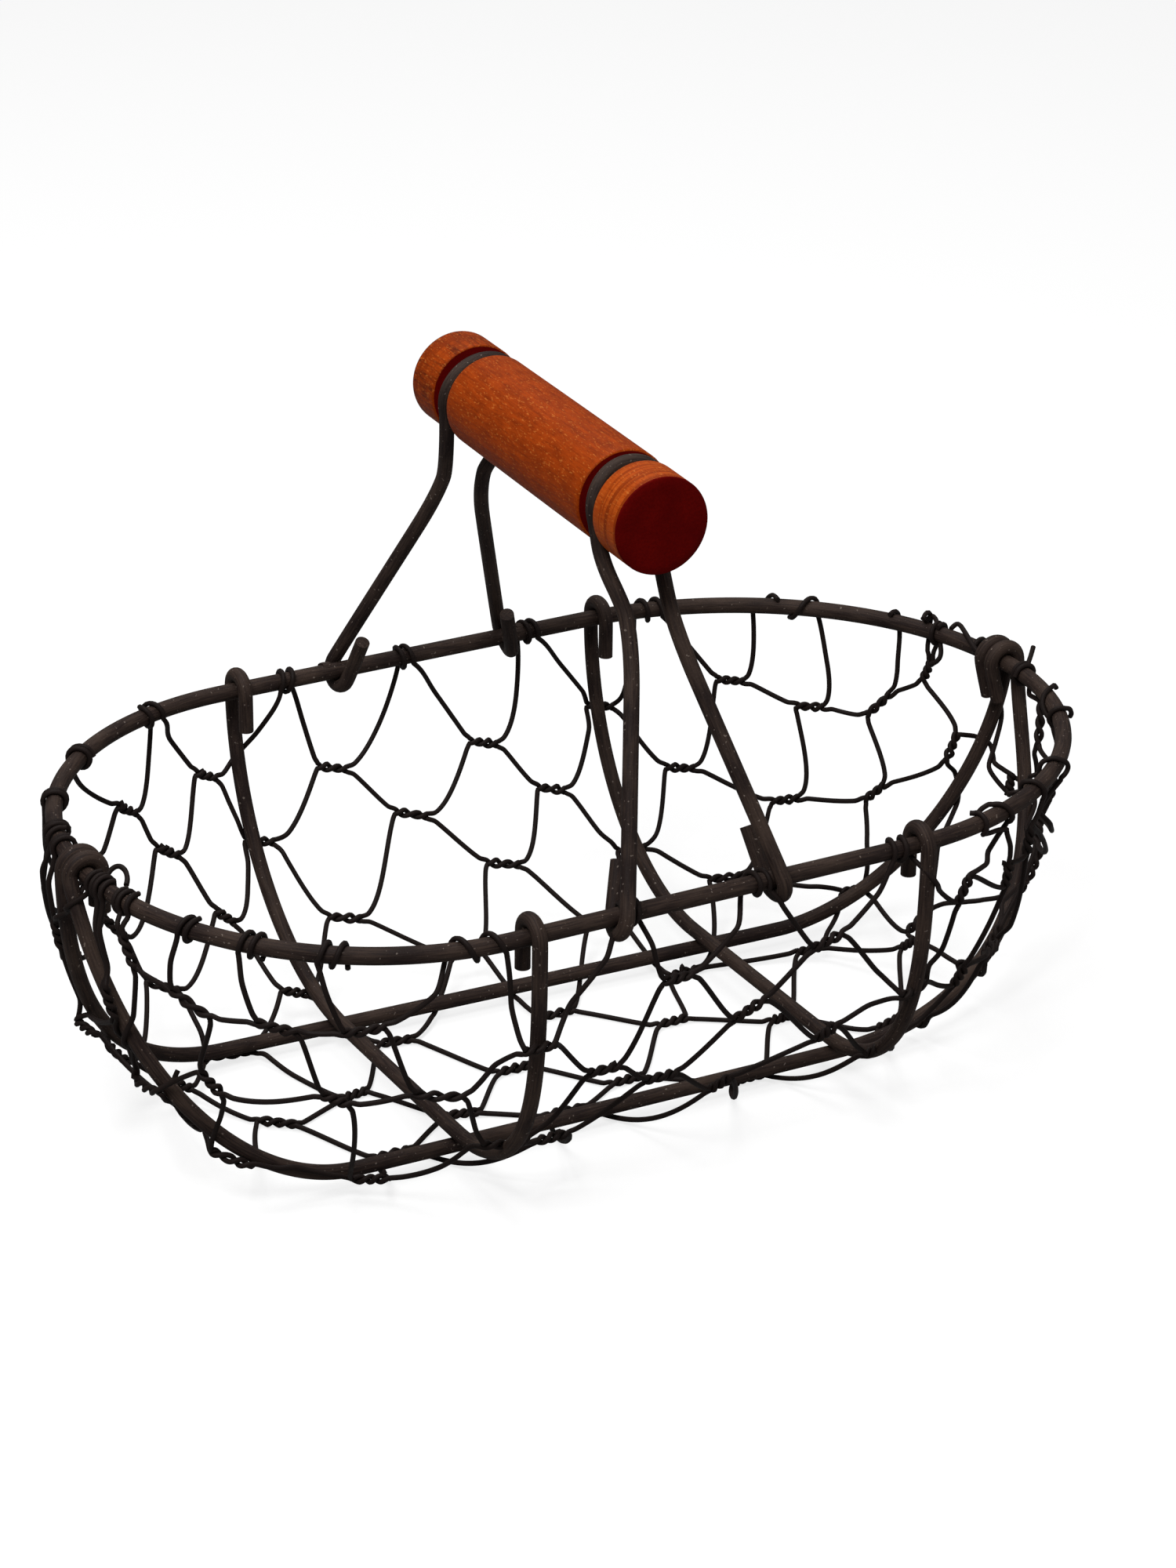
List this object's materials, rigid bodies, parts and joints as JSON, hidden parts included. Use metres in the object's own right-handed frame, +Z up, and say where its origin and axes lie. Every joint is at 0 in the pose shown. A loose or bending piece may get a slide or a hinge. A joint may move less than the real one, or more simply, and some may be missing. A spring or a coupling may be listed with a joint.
{
  "type": "wire storage basket",
  "caption": "Oblong bowl-shaped wire basket: painted wire frame, twisted hexagonal netting lashed to the rim, and two wire bails that hold a turning wooden grip.",
  "frame": {"origin": "middle of the footprint, on the surface that the basket stands on", "axes": "+X along the basket, +Y towards its back, +Z up"},
  "size_m": [0.2904, 0.1832, 0.1837],
  "materials": {
    "painted_wire": "matte dark brown paint on drawn steel wire, with fine lengthwise streaks and a little dust",
    "netting_wire": "near-black brown paint on thin steel wire, matte, slightly lighter at the twists and lashings",
    "stained_wood": "orange-brown satin stain on turned hardwood, very dark red in the grooves and on the end grain"
  },
  "bodies": {
    "frame": {"rim": "painted_wire", "cross_rib_left": "painted_wire", "cross_rib_right": "painted_wire", "stringer_back": "painted_wire", "stringer_front": "painted_wire", "bail_back": "painted_wire", "bail_front": "painted_wire", "netting_strand_01": "netting_wire", "netting_strand_02": "netting_wire", "netting_strand_03": "netting_wire", "netting_strand_04": "netting_wire", "netting_strand_05": "netting_wire", "netting_strand_06": "netting_wire", "netting_strand_07": "netting_wire", "netting_strand_08": "netting_wire", "netting_strand_09": "netting_wire", "netting_strand_10": "netting_wire", "netting_strand_11": "netting_wire", "netting_strand_12": "netting_wire", "netting_strand_13": "netting_wire"},
    "grip": {"grip": "stained_wood"}
  },
  "joints": [
    {"name": "grip_spin", "type": "hinge", "parent": "frame", "child": "grip", "pos_m": [-0.0054, 0, 0.171], "axis": [0.0419, 0.9991, 0], "continuous": true}
  ]
}
